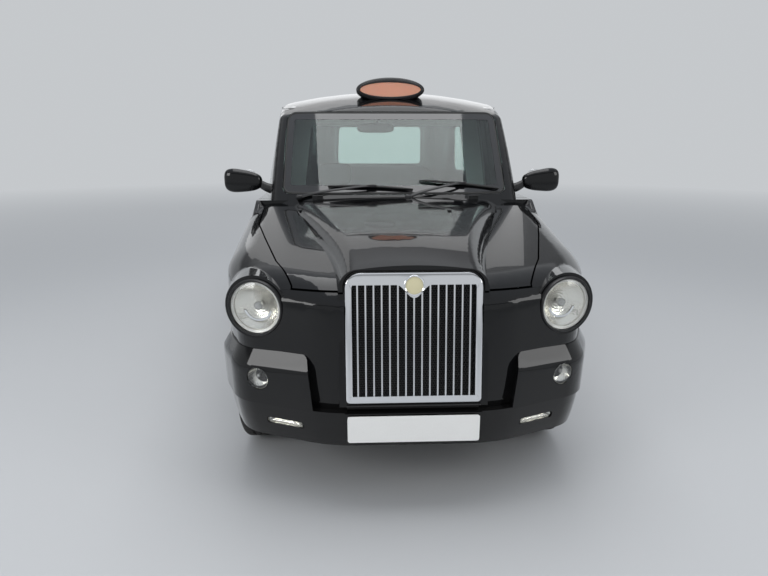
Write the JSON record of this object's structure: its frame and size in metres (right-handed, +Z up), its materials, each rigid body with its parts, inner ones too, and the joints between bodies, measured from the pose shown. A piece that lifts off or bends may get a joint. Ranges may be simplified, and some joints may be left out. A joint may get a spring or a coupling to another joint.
{
  "type": "taxi cab",
  "caption": "Purpose-built black taxi with upright grille, round lamps, roof sign, opening doors, bonnet and boot, steering and rolling wheels.",
  "frame": {"origin": "bottom centre of the bounding box, on the road under the middle of the cab", "axes": "+X towards the cab's left side, -Y the way it drives, +Z up"},
  "size_m": [2.036, 4.575, 1.8879],
  "materials": {
    "black_paint": "high gloss",
    "black_trim": "grained",
    "chassis_black": "satin",
    "engine_iron": "cast",
    "exhaust_steel": "dull",
    "tank_plastic": "satin",
    "bright_steel": "machined",
    "tyre": "black",
    "wheel_silver": "satin",
    "window_glass": "green tint",
    "lens_glass": "clear",
    "lamp_lens": "clear",
    "red_lens": "gloss",
    "chrome": "mirror",
    "sign_lens": "gloss",
    "plate_white": "gloss",
    "seat_cloth": "woven",
    "dash_grey": "grained",
    "partition_grey": "satin",
    "floor_mat": "ribbed"
  },
  "bodies": {
    "root": {"chassis_frame": "chassis_black", "floor_pan": "floor_mat", "engine_block": "engine_iron", "exhaust": "exhaust_steel", "fuel_tank": "tank_plastic", "front_suspension": "chassis_black", "rear_axle": "chassis_black", "wheel_housings": "black_trim", "roof": "black_paint", "side_frames": "black_paint", "scuttle": "black_paint", "front_wings": "black_paint", "front_panel": "black_paint", "rear_panel": "black_paint", "grille": "chrome", "front_bumper": "black_paint", "rear_bumper": "black_paint", "headlamps": "black_trim", "headlamp_lenses": "lens_glass", "bumper_lamps": "lamp_lens", "rear_lamps": "red_lens", "front_plate": "plate_white", "roof_sign": "black_trim", "sign_lens": "sign_lens", "windscreen": "window_glass", "rear_windows": "window_glass", "partition": "partition_grey", "partition_glass": "window_glass", "dashboard": "dash_grey", "driver_seat": "seat_cloth", "passenger_seats": "seat_cloth"},
    "bonnet": {"bonnet": "black_paint"},
    "boot_lid": {"boot_lid": "black_paint"},
    "steering_wheel": {"steering_wheel": "dash_grey"},
    "front_door_left": {"front_door_left": "black_paint", "front_door_glass_left": "window_glass", "mirror_left": "black_trim"},
    "rear_door_left": {"rear_door_left": "black_paint", "rear_door_glass_left": "window_glass"},
    "knuckle_left": {"knuckle_left": "bright_steel"},
    "front_wheel_left": {"front_rim_left": "wheel_silver", "front_tyre_left": "tyre"},
    "rear_wheel_left": {"rear_rim_left": "wheel_silver", "rear_tyre_left": "tyre"},
    "front_door_right": {"front_door_right": "black_paint", "front_door_glass_right": "window_glass", "mirror_right": "black_trim"},
    "rear_door_right": {"rear_door_right": "black_paint", "rear_door_glass_right": "window_glass"},
    "knuckle_right": {"knuckle_right": "bright_steel"},
    "front_wheel_right": {"front_rim_right": "wheel_silver", "front_tyre_right": "tyre"},
    "rear_wheel_right": {"rear_rim_right": "wheel_silver", "rear_tyre_right": "tyre"}
  },
  "joints": [
    {"name": "bonnet_hinge", "type": "hinge", "parent": "root", "child": "bonnet", "pos_m": [0, -1.0555, 1.189], "axis": [-1, 0, 0], "range_deg": [0, 50]},
    {"name": "boot_lid_hinge", "type": "hinge", "parent": "root", "child": "boot_lid", "pos_m": [0, 2.0425, 1.166], "axis": [1, 0, 0], "range_deg": [0, 75]},
    {"name": "steering_wheel_turn", "type": "hinge", "parent": "root", "child": "steering_wheel", "pos_m": [-0.385, -0.4875, 0.985], "axis": [0, 0.8829, 0.4695], "range_deg": [-600, 600]},
    {"name": "front_door_left_hinge", "type": "hinge", "parent": "root", "child": "front_door_left", "pos_m": [0.841, -0.9875, 0.9], "axis": [0, 0, -1], "range_deg": [0, 68]},
    {"name": "rear_door_left_hinge", "type": "hinge", "parent": "root", "child": "rear_door_left", "pos_m": [0.887, -0.0035, 0.9], "axis": [0, 0, -1], "range_deg": [0, 80]},
    {"name": "kingpin_left", "type": "hinge", "parent": "root", "child": "knuckle_left", "pos_m": [0.613, -1.4975, 0.342], "axis": [0, 0, 1], "range_deg": [-45, 45]},
    {"name": "front_wheel_left_spin", "type": "hinge", "parent": "knuckle_left", "child": "front_wheel_left", "pos_m": [0.705, -1.4975, 0.342], "axis": [1, 0, 0], "continuous": true},
    {"name": "rear_wheel_left_spin", "type": "hinge", "parent": "root", "child": "rear_wheel_left", "pos_m": [0.705, 1.3885, 0.342], "axis": [1, 0, 0], "continuous": true},
    {"name": "front_door_right_hinge", "type": "hinge", "parent": "root", "child": "front_door_right", "pos_m": [-0.841, -0.9875, 0.9], "axis": [0, 0, 1], "range_deg": [0, 68]},
    {"name": "rear_door_right_hinge", "type": "hinge", "parent": "root", "child": "rear_door_right", "pos_m": [-0.887, -0.0035, 0.9], "axis": [0, 0, 1], "range_deg": [0, 80]},
    {"name": "kingpin_right", "type": "hinge", "parent": "root", "child": "knuckle_right", "pos_m": [-0.613, -1.4975, 0.342], "axis": [0, 0, 1], "range_deg": [-45, 45]},
    {"name": "front_wheel_right_spin", "type": "hinge", "parent": "knuckle_right", "child": "front_wheel_right", "pos_m": [-0.705, -1.4975, 0.342], "axis": [1, 0, 0], "continuous": true},
    {"name": "rear_wheel_right_spin", "type": "hinge", "parent": "root", "child": "rear_wheel_right", "pos_m": [-0.705, 1.3885, 0.342], "axis": [1, 0, 0], "continuous": true}
  ],
  "couplings": [
    {"joint": "kingpin_right", "follows": "kingpin_left", "ratio": 1},
    {"joint": "steering_wheel_turn", "follows": "kingpin_left", "ratio": 13.3}
  ]
}
